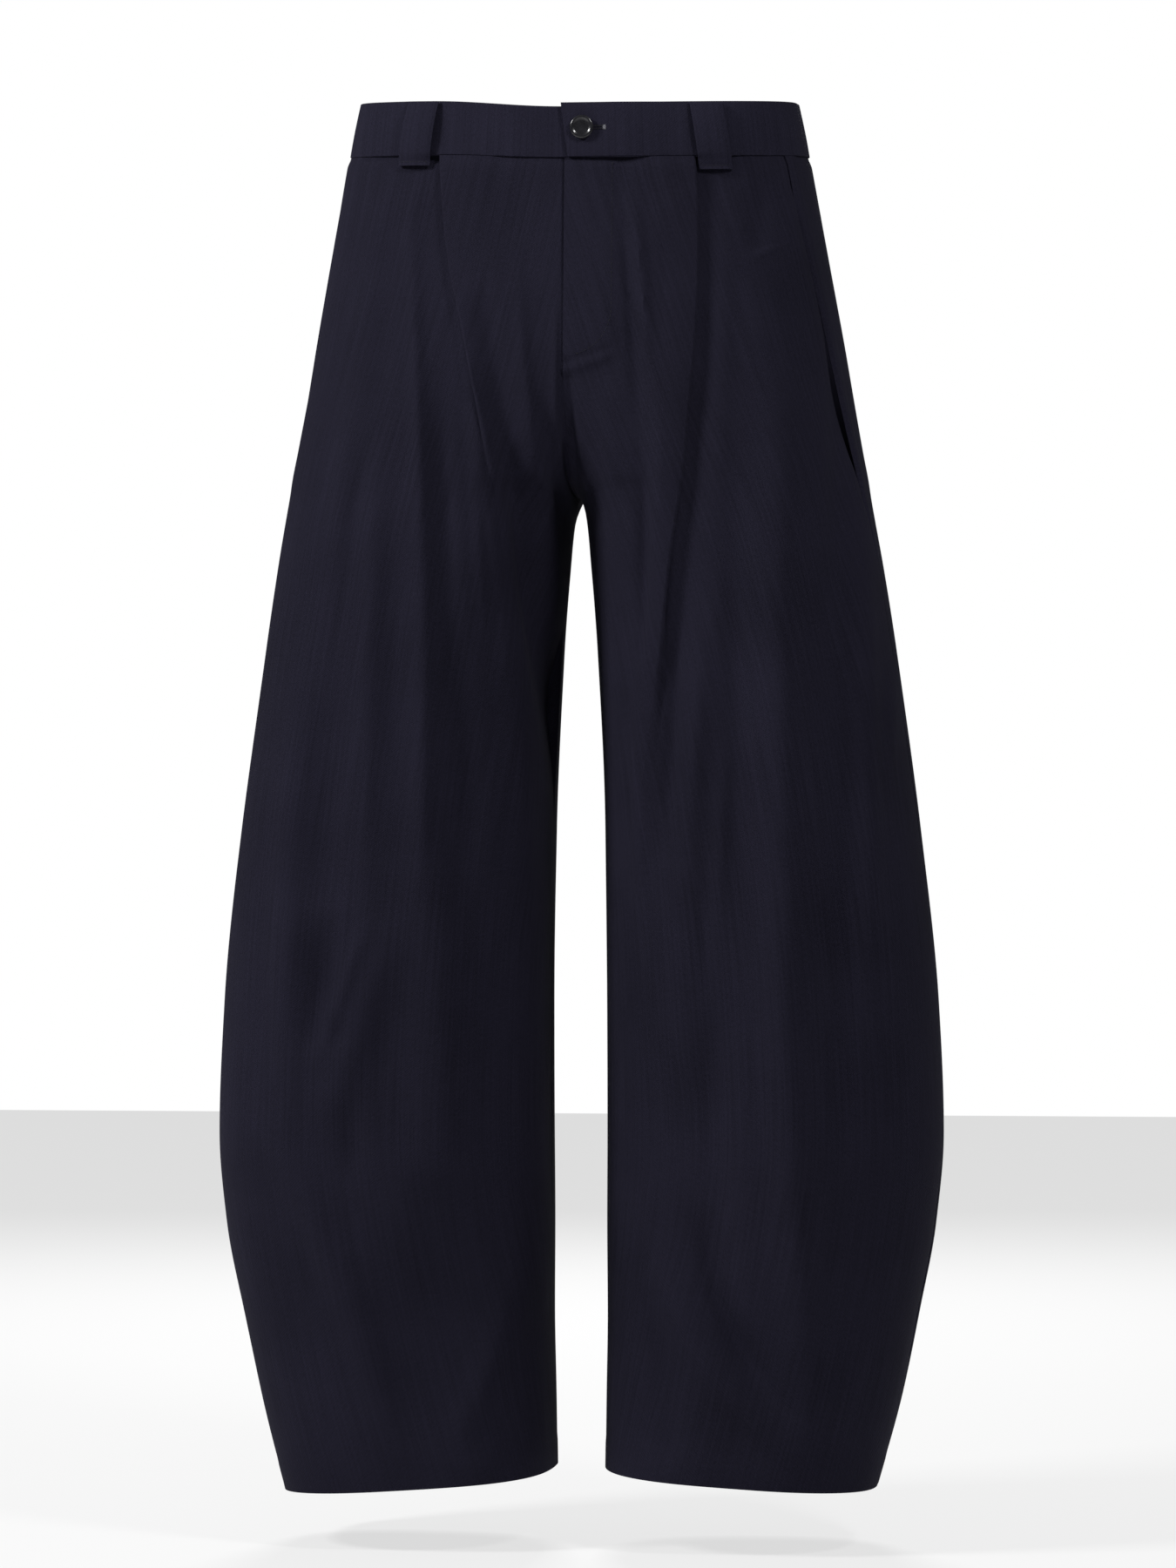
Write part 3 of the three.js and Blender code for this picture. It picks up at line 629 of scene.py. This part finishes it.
def back_surface(side, folds, seed):
    """Outer points of a back, with even columns from the inner edge to the side seam."""
    share = np.linspace(0, 1, BACK_COLUMNS)[None, :]
    drop = panel_drop(side, "back", share)
    end = np.interp(drop, LEVEL, LENGTH)
    seam = np.interp(drop, LEVEL, SIDE_ARC[side])
    arc = mix(end, seam, share)
    x, y = np.moveaxis(place(drop, arc), -1, 0)[:2]
    lift = (fold_lift(folds, x, drop) + wander(x, drop, seed)) * ease(-20, 40, y) * ease(0, 30, end - arc)
    proud = BACK_PROUD * (1 - ease(8, 22, arc - seam)) * (1 - ease(300, 400, drop))
    lift = lift + proud + panel_edges(side, drop, share) + centre_groove(end - arc, drop)
    lift = lift + seam_groove(arc - seam, *BACK_TURN) * seam_reach(drop)
    return on_form(drop, arc, lift, SIGN[side]), np.stack([arc - seam, -drop], axis=-1) / 1000


BACK_FOLDS = {
    "left": [
        (262, 420, 40, 110, 14, 12, 3.2),
        (300, 460, 34, 92, 10, 10, -3),
        (230, 640, 120, 128, 4, 24, 3.6),
        (420, 900, 170, 176, 6, 20, -3.8),
        (600, 980, 90, 110, -6, 22, 4),
        (820, 960, 150, 96, 0, 15, -4),
    ],
    "right": [
        (266, 400, 38, 118, 12, 13, 3),
        (310, 480, 36, 84, 8, 11, -3.2),
        (250, 700, 134, 120, -4, 22, 3.8),
        (380, 860, 176, 168, 4, 22, -3.4),
        (640, 1000, 104, 88, 6, 24, 3.8),
        (780, 940, 84, 146, 0, 16, -4.2),
    ],
}
for side, seed in (("left", 8), ("right", 11)):
    points, uv = back_surface(side, BACK_FOLDS[side], seed)
    back = add_piece(
        f"back_{side}_cloth", *wall(points, CLOTH, side == "left"),
        np.concatenate([uv.reshape(-1, 2)] * 2), CLOTH_MATERIAL, f"back_{side}", "cloth",
    )

# Waistband halves, of the same suiting over a stiff interlining, sewn to the panels' top edges.
# The wearer's left half laps over the right one at the centre front; both are profiles carried round.
BAND_THICKNESS = 2.4
BAND_CROWN = 0.3
BAND_ROUND = 0.7
LAP_LIFT = 3  # of the over half at the centre front
LAP_END = (-3, 2.4)  # arcs of its end at the top and at the waist seam
UNDERLAP = 30  # of the under half past the centre front
UNDER_SAG = 2.5  # of the under half's top edge below the over half's
BAND_MIDDLE = WAISTBAND_HEIGHT / 2
BAND_LENGTH = np.interp(BAND_MIDDLE, LEVEL, LENGTH)


def band_point(arc, down, out, sign, sag=0):
    """Point round the waist: down from the tilted top edge and out from the form.

    The arcs are scaled to the section's length.
    """
    x, y = np.moveaxis(place(BAND_MIDDLE, arc), -1, 0)[:2]
    drop = down - waist_rise(np.abs(x), y, sign) + sag * (1 - down / WAISTBAND_HEIGHT)
    return on_form(drop, arc * np.interp(drop, LEVEL, LENGTH) / BAND_LENGTH, out, sign)


def band_profile():
    """Outline of the waistband's section: a crowned outer face, rounded edges and a flat inner face."""
    quarter = np.linspace(0, np.pi / 2, 5)
    curve_out, curve_down = BAND_ROUND * (np.sin(quarter) - 1), BAND_ROUND * (1 - np.cos(quarter))
    face = np.linspace(WAISTBAND_HEIGHT - BAND_ROUND, BAND_ROUND, 13)[1:-1]
    crown = BAND_CROWN * (1 - ((face - BAND_MIDDLE) / (BAND_MIDDLE - BAND_ROUND)) ** 2)
    back = np.linspace(BAND_ROUND, WAISTBAND_HEIGHT, 7)
    return np.concatenate([
        np.stack([WAISTBAND_HEIGHT - curve_down, curve_out], axis=1),
        np.stack([face, crown], axis=1),
        np.stack([curve_down, curve_out], axis=1)[::-1],
        np.stack([curve_down, -BAND_THICKNESS - curve_out], axis=1)[:-1],
        np.stack([back, np.full(7, -BAND_THICKNESS)], axis=1),
    ])


def band_half(side):
    """Points, faces, ends and cut of one half: its profile at columns that grow wider to the back."""
    is_over, sign = side == "left", SIGN[side]
    down, out = band_profile().T
    t = np.linspace(0, 1, 171)[:, None] ** 1.15
    start = mix(*LAP_END, down / WAISTBAND_HEIGHT) if is_over else -UNDERLAP
    arc = mix(start, BAND_LENGTH, t) * np.ones_like(down)
    ripple = wander(2.2 * arc, 4 * down, 17 + sign) * 0.35 * ease(0, 24, arc) * (out > -1)
    lift = LAP_LIFT * (1 - ease(34, 76, arc)) if is_over else 0
    sag = 0 if is_over else UNDER_SAG * (1 - ease(0, 120, arc))
    points = band_point(arc, down * np.ones_like(arc), out + lift + ripple, sign, sag)
    columns, count = arc.shape
    index = np.arange(columns * count).reshape(columns, count)
    a, b = index[:-1], index[1:]
    quads = np.stack([a, b, np.roll(b, -1, axis=1), np.roll(a, -1, axis=1)], axis=-1).reshape(-1, 4)
    uv = np.stack([arc, -down * np.ones_like(arc)], axis=-1).reshape(-1, 2) / 1000
    return points.reshape(-1, 3), quads[:, ::sign], [index[0, ::sign], index[-1, ::-sign]], uv


BAND_MATERIAL = suiting("waistband", (0.0170, 0.0159, 0.0285))
for side in SIGN:
    points, quads, ends, uv = band_half(side)
    band_faces = np.array(quads.tolist() + [end.tolist() for end in ends], dtype=object)
    band = add_piece(
        f"waistband_{side}_cloth", points, band_faces, uv,
        BAND_MATERIAL, f"waistband_{side}", "waistband",
    )

# Belt loops: five folded strips of the suiting, sewn on at the waistband's top edge and below the
# waist seam. Each is a strip that lies on at both ends and stands off between them, a little crowned.
LOOP_WIDTH = 24
LOOP_THICKNESS = 1.6
LOOP_STAND = 3.2
LOOP_GAP = 0.3  # off the waistband, at both ends
LOOP_TOP = 0.6  # below the waistband's top edge
LOOP_LANDING = 1.08  # the stand's half wave ends this much before the foot
LOOPS = [  # name, side, arc at the top, arc at the foot, length below the waist seam
    ("belt_loop_front_left", "left", 104, 108, 10),
    ("belt_loop_front_right", "right", 107, 110.5, 7.5),
    ("belt_loop_side_left", "left", 320, 320, 9),
    ("belt_loop_side_right", "right", 320, 320, 9),
    ("belt_loop_back", "back", 0, 0, 9),
]
LOOP_MATERIAL = suiting("loop", (0.0170, 0.0159, 0.0285))


def loop_surface(side, is_front, top, foot, below):
    """Outer points of a belt loop, and its cut.

    Its stand is a sine to the power 0.6 along it, and its crown a parabola across with soft edges. A
    front one's foot sinks with the cloth beside the pleat.
    """
    t = np.linspace(0, 1, 49)[:, None]
    across = np.linspace(-1, 1, 17)[None, :]
    shift = across * LOOP_WIDTH / 2
    down = mix(LOOP_TOP, WAISTBAND_HEIGHT + below, t) * np.ones_like(shift)
    stand = LOOP_STAND * np.sin(np.pi * np.clip(t * LOOP_LANDING, 0, 1)) ** 0.6
    crown = 0.7 * (1 - across**2) - 0.45 * across**8
    landed = ease(WAISTBAND_HEIGHT - 2, WAISTBAND_HEIGHT + 4, down)
    arc, sign, sink = mix(top, foot, t) + shift, SIGN.get(side, 1), 0
    if is_front:
        past = arc - table_at(PLEAT, COLUMN[side], float(WAISTBAND_HEIGHT))
        sink = np.where(past > 0, -PLEAT_LAYER * (1 - ease(0, 26, past)), 0)
    if side == "back":
        arc = BAND_LENGTH - np.abs(shift) * np.ones_like(t)
        sign = np.where(shift < 0, -1, 1)
    out = LOOP_GAP + LOOP_THICKNESS + stand + crown + mix(BAND_CROWN, 0.6 * sink, landed)
    uv = np.stack(np.broadcast_arrays(shift, -down), axis=-1) / 1000
    return band_point(arc, down, out, sign), uv


for name, side, top, foot, below in LOOPS:
    points, uv = loop_surface(side, "front" in name, top, foot, below)
    loop = add_piece(
        f"{name}_cloth", *wall(points, LOOP_THICKNESS, side != "left"),
        np.concatenate([uv.reshape(-1, 2)] * 2), LOOP_MATERIAL, name, "loop",
    )

# Button: one dark polished disc with a raised rim and a dished face, moulded in one piece and set
# just off the waistband's lap, with no thread shank made behind it. It is a profile turned about its own
# axis.
BUTTON_X = 12.8
BUTTON_DROP = 18.6
BUTTON_RADIUS = 8.6
BUTTON_PROFILE = np.array([  # radius, height out from the back
    [0, 0], [4, 0], [6.2, 0.02], [7.4, 0.3], [8.2, 0.8], [8.62, 1.4], [8.75, 1.95], [8.66, 2.45],
    [8.35, 2.85], [7.9, 3.1], [7.35, 3.2], [6.85, 3.12], [6.45, 2.9], [6.1, 2.62], [5.4, 2.36],
    [4.2, 2.16], [2.6, 2.04], [1.2, 2.0], [0, 1.99],
])
material = bpy.data.materials.new("button")
material.use_nodes = True
nodes, links = material.node_tree.nodes, material.node_tree.links
shader = nodes["Principled BSDF"]
shader.inputs["Coat Weight"].default_value = 0.4
shader.inputs["Coat Roughness"].default_value = 0.08
place_on = nodes.new("ShaderNodeTexCoord")
marble = nodes.new("ShaderNodeTexNoise")
marble.inputs["Scale"].default_value = 260
marble.inputs["Detail"].default_value = 5
links.new(place_on.outputs["Object"], marble.inputs["Vector"])
ramp = nodes.new("ShaderNodeValToRGB")
ramp.color_ramp.elements[0].color = (0.006, 0.006, 0.008, 1)
ramp.color_ramp.elements[1].color = (0.022, 0.022, 0.026, 1)
links.new(marble.outputs["Fac"], ramp.inputs["Fac"])
links.new(ramp.outputs["Color"], shader.inputs["Base Color"])
gloss = nodes.new("ShaderNodeMapRange")
gloss.inputs["To Min"].default_value = 0.16
gloss.inputs["To Max"].default_value = 0.3
links.new(marble.outputs["Fac"], gloss.inputs["Value"])
links.new(gloss.outputs["Result"], shader.inputs["Roughness"])

segments = 96
radius, height = BUTTON_PROFILE[1:-1].T
radius = radius * BUTTON_RADIUS / radius.max()
around = np.linspace(0, 2 * np.pi, segments, endpoint=False)[:, None]
seat = on_form(float(BUTTON_DROP), BUTTON_X, LAP_LIFT + BAND_CROWN + 0.5, 1)
disc = np.stack([radius * np.cos(around), -height * np.ones_like(around), radius * np.sin(around)], axis=-1)
ends = np.array([[0, -BUTTON_PROFILE[0, 1], 0], [0, -BUTTON_PROFILE[-1, 1], 0]])
points = np.concatenate([disc.reshape(-1, 3), ends]) + seat
index = np.arange(segments * len(radius)).reshape(segments, -1)
a, b = index, np.roll(index, -1, axis=0)
quads = np.stack([a[:, :-1], b[:, :-1], b[:, 1:], a[:, 1:]], axis=-1).reshape(-1, 4)
back_middle, face_middle = np.full(segments, len(points) - 2), np.full(segments, len(points) - 1)
fans = np.concatenate([
    np.stack([back_middle, b[:, 0], a[:, 0]], axis=1),
    np.stack([face_middle, a[:, -1], b[:, -1]], axis=1),
])
button_faces = np.array(quads.tolist() + fans.tolist(), dtype=object)
add_piece(
    "button_moulded", points, button_faces, points[:, [0, 2]] / 1000,
    material, "button", "button",
)

# Sewing, in matching thread: the J-shaped stitch line of the fly, the buttonhole with its paler bar
# tack, and the tacks across the feet of four belt loops. Each stitch is a bead that tapers at its ends.
thread = bpy.data.materials.new("thread")
thread.use_nodes = True
nodes, links = thread.node_tree.nodes, thread.node_tree.links
shader = nodes["Principled BSDF"]
shader.inputs["Roughness"].default_value = 0.6
shader.inputs["Sheen Weight"].default_value = 0.1
shader.inputs["Specular IOR Level"].default_value = 0.2
place_on = nodes.new("ShaderNodeTexCoord")
twist = nodes.new("ShaderNodeTexWave")
twist.inputs["Scale"].default_value = 1600
twist.inputs["Distortion"].default_value = 2
links.new(place_on.outputs["Object"], twist.inputs["Vector"])
ramp = nodes.new("ShaderNodeValToRGB")
ramp.color_ramp.elements[0].color = (0.006, 0.006, 0.01, 1)
ramp.color_ramp.elements[1].color = (0.016, 0.016, 0.025, 1)
links.new(twist.outputs["Fac"], ramp.inputs["Fac"])
links.new(ramp.outputs["Color"], shader.inputs["Base Color"])
bump = nodes.new("ShaderNodeBump")
bump.inputs["Strength"].default_value = 0.5
bump.inputs["Distance"].default_value = 0.0001
links.new(twist.outputs["Fac"], bump.inputs["Height"])
links.new(bump.outputs["Normal"], shader.inputs["Normal"])


def stitches(name, starts, stops, radius, material=thread):
    """Beads from starts to stops: rings of six points, whose radius is a sine along to the power 0.4."""
    rings, sides = 6, 6
    t = np.linspace(0, 1, rings)[:, None, None]
    axis = stops - starts
    axis = axis / np.linalg.norm(axis, axis=1, keepdims=True)
    helper = np.where(np.abs(axis[:, :1]) < 0.8, [[1.0, 0, 0]], [[0, 0, 1.0]])
    u = np.cross(axis, helper)
    u /= np.linalg.norm(u, axis=1, keepdims=True)
    v = np.cross(axis, u)
    around = (np.arange(sides) * 2 * np.pi / sides)[None, :, None]
    size = radius * np.maximum(np.sin(np.pi * t), 0.02) ** 0.4
    middle = mix(starts[:, None, None], stops[:, None, None], t[None])
    grid = middle + size[None] * (np.cos(around) * u[:, None, None] + np.sin(around) * v[:, None, None])
    count = len(starts)
    index = np.arange(count * rings * sides).reshape(count, rings, sides)
    a, b = index[:, :-1], index[:, 1:]
    quads = np.stack([a, np.roll(a, -1, 2), np.roll(b, -1, 2), b], axis=-1).reshape(-1, 4)
    caps = np.concatenate([index[:, 0, ::-1], index[:, -1]]).tolist()
    faces = np.array(quads.tolist() + caps, dtype=object)
    bead_uv = np.stack(np.broadcast_arrays(around * radius, t * 2), axis=-1).reshape(-1, 2) / 1000
    uv = np.tile(bead_uv, (count, 1))
    return add_piece(name, grid.reshape(-1, 3), faces, uv, material, None, "cloth")


def along_line(points, pitch, length):
    """Starts and stops of stitches along a line: one every pitch, each of the given length."""
    reach = np.r_[0, np.cumsum(np.linalg.norm(np.diff(points, axis=0), axis=1))]
    first = np.arange(0, reach[-1] - length, pitch)
    return [
        np.stack([np.interp(first + shift, reach, points[:, k]) for k in range(3)], axis=1)
        for shift in (0, length)
    ]


def fly_point(arc, drop):
    """Point on the outer side of the left front near its centre edge."""
    x = place(drop, arc)[:, 0]
    lift = fold_lift(FRONT_LEFT_FOLDS, x, drop) * ease(0, 6, arc) + wander(x, drop, 3) * ease(0, 30, arc)
    return on_form(drop, arc, lift + fly_step(x, drop), 1)


t = np.linspace(0, 1, 60)
bend = np.pi / 2 * t[1:-6]
line_arc = np.r_[np.full(60, 35.0), 35 * np.cos(bend) ** 0.9]
line_drop = np.r_[mix(44, 150, t), 150 + 35 * np.sin(bend)]
stitches("fly_stitching", *along_line(fly_point(line_arc, line_drop), 3.2, 2.3), 0.24)

pale = thread.copy()
pale.name = "buttonhole_thread"
pale.node_tree.nodes["Color Ramp"].color_ramp.elements[0].color = (0.1, 0.1, 0.115, 1)
pale.node_tree.nodes["Color Ramp"].color_ramp.elements[1].color = (0.26, 0.26, 0.29, 1)
HOLE_SLIT, HOLE_REACH, BAR_REACH = 0.35, 1.7, 1.9  # from the buttonhole's middle line
hole = np.arange(12.0, 28.6, 0.5)
bar = np.arange(28.4, 30.2, 0.42)


def on_lap(arc, above):
    """Points on the over half of the waistband, at a height over the buttonhole's middle line."""
    return band_point(arc, BUTTON_DROP - above, LAP_LIFT + BAND_CROWN + 0.06, 1)


row_starts = np.concatenate([on_lap(hole, HOLE_SLIT), on_lap(hole, -HOLE_SLIT)])
row_stops = np.concatenate([on_lap(hole, HOLE_REACH), on_lap(hole, -HOLE_REACH)])
stitches("buttonhole_stitching", row_starts, row_stops, 0.27)
stitches("buttonhole_bar_tack", on_lap(bar, BAR_REACH), on_lap(bar, -BAR_REACH), 0.3, pale)

TACK_HEIGHT = 2.6  # of a loop's tack over the loop's foot
TACK_LENGTH = 1.8
for name, side, top, foot, below in LOOPS:
    if side == "back":
        continue
    across = np.linspace(-9, 9, 9)
    down = WAISTBAND_HEIGHT + below - TACK_HEIGHT
    sink = 0
    arc = foot + across
    if "front" in name:
        past = arc - table_at(PLEAT, COLUMN[side], float(WAISTBAND_HEIGHT))
        sink = 0.6 * np.where(past > 0, -PLEAT_LAYER * (1 - ease(0, 26, past)), 0)
    along = (down - LOOP_TOP) / (WAISTBAND_HEIGHT + below - LOOP_TOP)
    rising = LOOP_STAND * np.sin(np.pi * min(along * LOOP_LANDING, 1)) ** 0.6
    out = LOOP_GAP + LOOP_THICKNESS + rising + 0.7 * (1 - (2 * across / LOOP_WIDTH) ** 2) + sink + 0.05
    stitches(
        f"{name}_tack", band_point(arc - TACK_LENGTH / 2, np.full(9, down), out, SIGN[side]),
        band_point(arc + TACK_LENGTH / 2, np.full(9, down), out, SIGN[side]), 0.22,
    )

# Floor and light: a plain pale floor below the hems, a soft key light from the photo's left, weaker
# ones from its right and from behind, and a pale surround, all with sizes in metres. The camera is
# level with the thighs.
FLOOR_DROP = 1.06
FLOOR_REACH = 6
floor_mesh = bpy.data.meshes.new("floor")
floor_corners = [
    (x * FLOOR_REACH, y * FLOOR_REACH, -FLOOR_DROP) for x, y in ((-1, -1), (1, -1), (1, 1), (-1, 1))
]
floor_mesh.from_pydata(floor_corners, [], [(0, 1, 2, 3)])
floor = bpy.data.objects.new("floor", floor_mesh)
bpy.context.scene.collection.objects.link(floor)
floor_material = bpy.data.materials.new("floor")
floor_material.use_nodes = True
nodes, links = floor_material.node_tree.nodes, floor_material.node_tree.links
nodes["Principled BSDF"].inputs["Base Color"].default_value = (0.85, 0.85, 0.85, 1)
nodes["Principled BSDF"].inputs["Roughness"].default_value = 0.9
glow = nodes.new("ShaderNodeEmission")
seen_share = nodes.new("ShaderNodeMath")
seen_share.operation = "MULTIPLY"
seen_share.inputs[1].default_value = 0.7
path = nodes.new("ShaderNodeLightPath")
blend = nodes.new("ShaderNodeMixShader")
links.new(path.outputs["Is Camera Ray"], seen_share.inputs[0])
links.new(seen_share.outputs["Value"], blend.inputs["Fac"])
links.new(nodes["Principled BSDF"].outputs["BSDF"], blend.inputs[1])
links.new(glow.outputs["Emission"], blend.inputs[2])
links.new(blend.outputs["Shader"], nodes["Material Output"].inputs["Surface"])
floor_mesh.materials.append(floor_material)

world = bpy.data.worlds.new("surround")
world.use_nodes = True
nodes, links = world.node_tree.nodes, world.node_tree.links
nodes["Background"].inputs["Color"].default_value = (1, 1, 1, 1)
nodes["Background"].inputs["Strength"].default_value = 0.065
seen = nodes.new("ShaderNodeBackground")
seen.inputs["Color"].default_value = (1, 1, 1, 1)
path = nodes.new("ShaderNodeLightPath")
either = nodes.new("ShaderNodeMixShader")
links.new(path.outputs["Is Camera Ray"], either.inputs["Fac"])
links.new(nodes["Background"].outputs["Background"], either.inputs[1])
links.new(seen.outputs["Background"], either.inputs[2])
links.new(either.outputs["Shader"], nodes["World Output"].inputs["Surface"])
bpy.context.scene.world = world

LIGHTS = [  # name, place, aim, width, height, watts
    ("key", (-1.95, -1.2, 1.15), (0, 0, -0.2), 0.6, 0.6, 55),
    ("front", (1.15, -1.25, 1.1), (0, 0, -0.2), 0.4, 0.4, 18),
    ("rear", (-0.3, 2.6, 0.9), (0, 0, -0.3), 0.8, 0.8, 60),
]
for name, spot, aim, width, height, watts in LIGHTS:
    light = bpy.data.lights.new(name, "AREA")
    light.shape = "RECTANGLE"
    light.size, light.size_y, light.energy = width, height, watts
    lamp = bpy.data.objects.new(name, light)
    bpy.context.scene.collection.objects.link(lamp)
    lamp.location = spot
    away = np.array(spot) - np.array(aim)
    lamp.rotation_euler = (
        math.atan2(math.hypot(away[0], away[1]), away[2]), 0, math.atan2(away[0], -away[1])
    )

CAMERA_TURN = math.radians(6.5)
CAMERA_DISTANCE = 4.2
CAMERA_DROP = 0.52
camera_data = bpy.data.cameras.new("camera")
camera_data.lens = 129.2
camera_data.shift_x = 0.0044
camera_data.shift_y = 0.0208
camera = bpy.data.objects.new("camera", camera_data)
bpy.context.scene.collection.objects.link(camera)
camera.location = (
    CAMERA_DISTANCE * math.sin(CAMERA_TURN), -CAMERA_DISTANCE * math.cos(CAMERA_TURN), -CAMERA_DROP
)
camera.rotation_euler = (math.pi / 2, 0, CAMERA_TURN)
bpy.context.scene.camera = camera
bpy.context.scene.view_settings.view_transform = "Standard"
